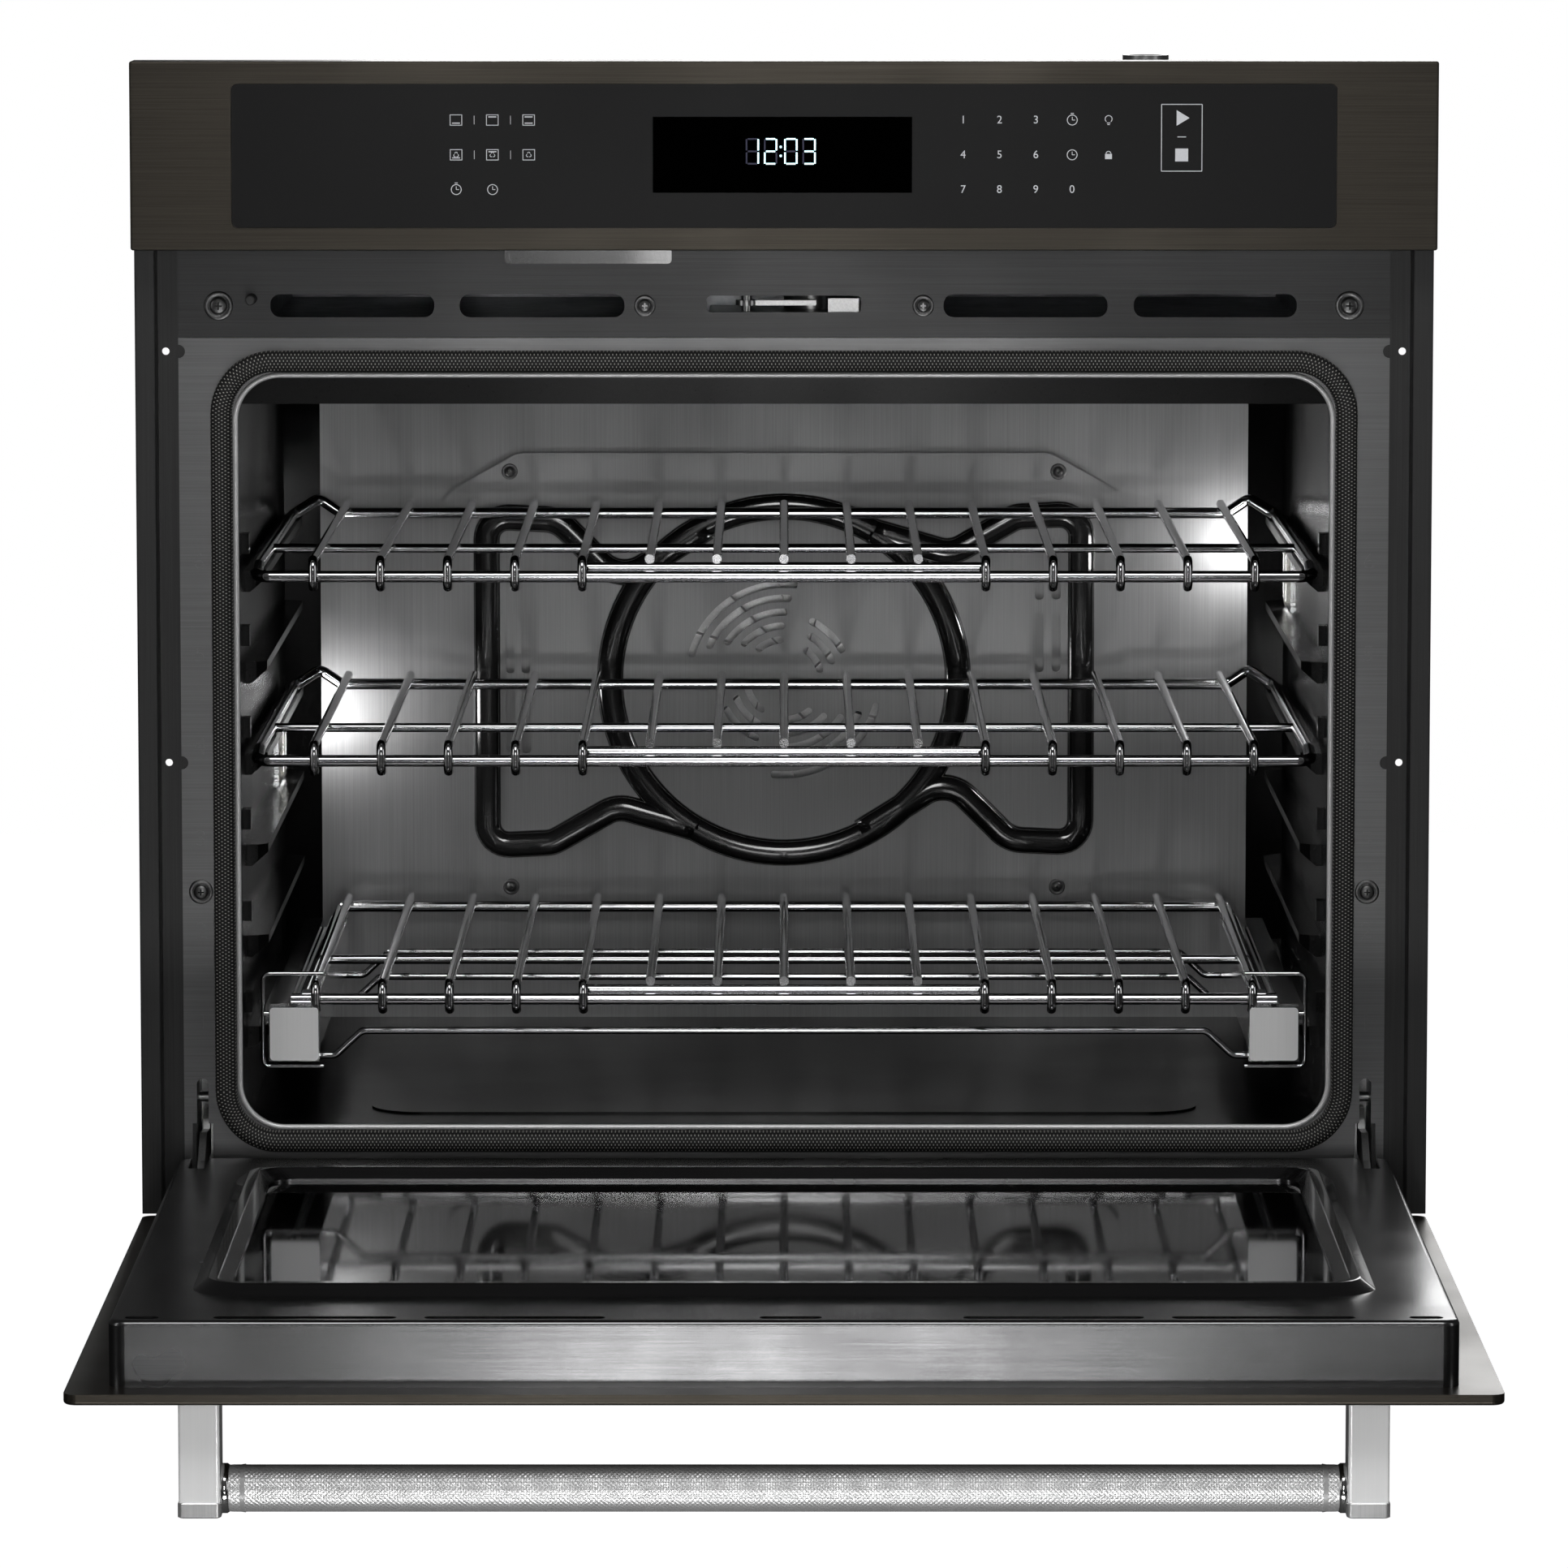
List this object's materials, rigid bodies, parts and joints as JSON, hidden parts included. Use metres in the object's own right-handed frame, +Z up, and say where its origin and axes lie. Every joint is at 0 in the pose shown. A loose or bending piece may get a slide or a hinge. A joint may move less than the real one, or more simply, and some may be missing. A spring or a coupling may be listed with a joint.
{
  "type": "wall oven",
  "caption": "Built-in single wall oven with a touch control panel, drop-down glazed door, bar handle, wire racks, a roll-out rack and a convection fan behind a baffle.",
  "frame": {"origin": "centre of the underside of the chassis base, which rests on the cabinet shelf", "axes": "+X to the right seen from the front, +Y to the back, +Z up; the door is open at rest"},
  "size_m": [0.762, 1.182, 0.757],
  "materials": {
    "painted_steel": "galvanised casing sheet",
    "bronze_steel": "brushed, dark bronze coating",
    "black_steel": "satin black",
    "frame_steel": "brushed, vertical grain",
    "black_enamel": "gloss porcelain enamel",
    "baffle_enamel": "satin grey enamel",
    "control_glass": "polished black glass, opaque backing",
    "display": "black display",
    "board": "green circuit board",
    "gasket": "woven glass fibre and wire",
    "insulation": "glass wool",
    "chrome": "plated wire",
    "steel": "zinc-plated steel",
    "polished": "polished posts",
    "grip": "knurled grip",
    "element": "oxidised sheath",
    "glass": "tinted heat-resistant glass",
    "lens": "ribbed lamp glass",
    "bulb": "halogen bulb",
    "ceramic": "lamp housing",
    "motor": "motor shell",
    "aluminium": "pressed wheel",
    "plastic": "moulded"
  },
  "bodies": {
    "chassis": {"chassis_base": "painted_steel", "side_panel_left": "painted_steel", "side_panel_right": "painted_steel", "rear_panel": "painted_steel", "top_cover": "painted_steel", "side_trim_left": "black_steel", "side_trim_right": "black_steel", "bottom_trim": "black_steel", "front_frame": "frame_steel", "vent_panel": "frame_steel", "data_tab": "black_steel", "control_bezel": "bronze_steel", "control_glass": "control_glass", "display_module": "display", "control_board": "board", "cavity_floor": "black_enamel", "cavity_ceiling": "black_enamel", "cavity_wall_left": "black_enamel", "cavity_wall_right": "black_enamel", "cavity_back": "baffle_enamel", "door_gasket": "gasket", "insulation": "insulation", "lamp_housings": "ceramic", "lamp_lenses": "lens", "lamp_bulbs": "bulb", "broil_element": "element", "bake_element": "element", "convection_element": "element", "temperature_sensor": "steel", "fan_baffle": "baffle_enamel", "convection_motor": "motor", "air_duct": "painted_steel", "blower_housing": "painted_steel", "blower_motor": "motor", "latch_body": "steel", "switch_housing": "plastic", "junction_box": "painted_steel", "conduit_gland": "steel", "hinge_receivers": "steel", "hinge_arms": "steel", "glide_frame": "chrome", "body_screws": "steel"},
    "door": {"door_skin": "bronze_steel", "door_glass_outer": "glass", "door_liner": "frame_steel", "window_frame": "frame_steel", "door_glass_inner": "glass", "door_insulation": "insulation", "hinge_bodies": "steel", "hinge_springs": "steel", "handle_posts": "polished", "handle_bar": "grip"},
    "rack_top": {"rack_top": "chrome"},
    "rack_middle": {"rack_middle": "chrome"},
    "roll_out_rack": {"roll_out_rack": "chrome"},
    "glide_slides": {"glide_slides": "steel"},
    "convection_fan": {"convection_fan": "steel"},
    "blower_wheel": {"blower_wheel": "aluminium"},
    "latch_hook": {"latch_hook": "steel"},
    "switch_plunger": {"switch_plunger": "plastic"}
  },
  "joints": [
    {"name": "door_hinge", "type": "hinge", "parent": "chassis", "child": "door", "pos_m": [0, -0.332, 0.052], "axis": [-1, 0, 0], "range_deg": [0, 90]},
    {"name": "rack_top_slide", "type": "slide", "parent": "chassis", "child": "rack_top", "axis": [0, 1, 0], "range_m": [-0.3, 0]},
    {"name": "rack_middle_slide", "type": "slide", "parent": "chassis", "child": "rack_middle", "axis": [0, 1, 0], "range_m": [-0.3, 0]},
    {"name": "roll_out_slide", "type": "slide", "parent": "chassis", "child": "roll_out_rack", "axis": [0, 1, 0], "range_m": [-0.3, 0]},
    {"name": "glide_member_slide", "type": "slide", "parent": "chassis", "child": "glide_slides", "axis": [0, 1, 0], "range_m": [-0.15, 0]},
    {"name": "convection_fan_spin", "type": "hinge", "parent": "chassis", "child": "convection_fan", "pos_m": [0, 0.2, 0.307], "axis": [0, 1, 0], "continuous": true},
    {"name": "blower_spin", "type": "hinge", "parent": "chassis", "child": "blower_wheel", "pos_m": [0, -0.02, 0.63], "axis": [0, 0, 1], "continuous": true},
    {"name": "latch_pivot", "type": "hinge", "parent": "chassis", "child": "latch_hook", "pos_m": [-0.022, -0.2835, 0.578], "axis": [0, 0, -1], "range_deg": [0, 50]},
    {"name": "switch_travel", "type": "slide", "parent": "chassis", "child": "switch_plunger", "axis": [0, 1, 0], "range_m": [0, 0.0043]}
  ],
  "couplings": [
    {"joint": "glide_member_slide", "follows": "roll_out_slide", "ratio": 0.5},
    {"joint": "switch_travel", "follows": "door_hinge", "m_per_rad": 0.0027311}
  ]
}
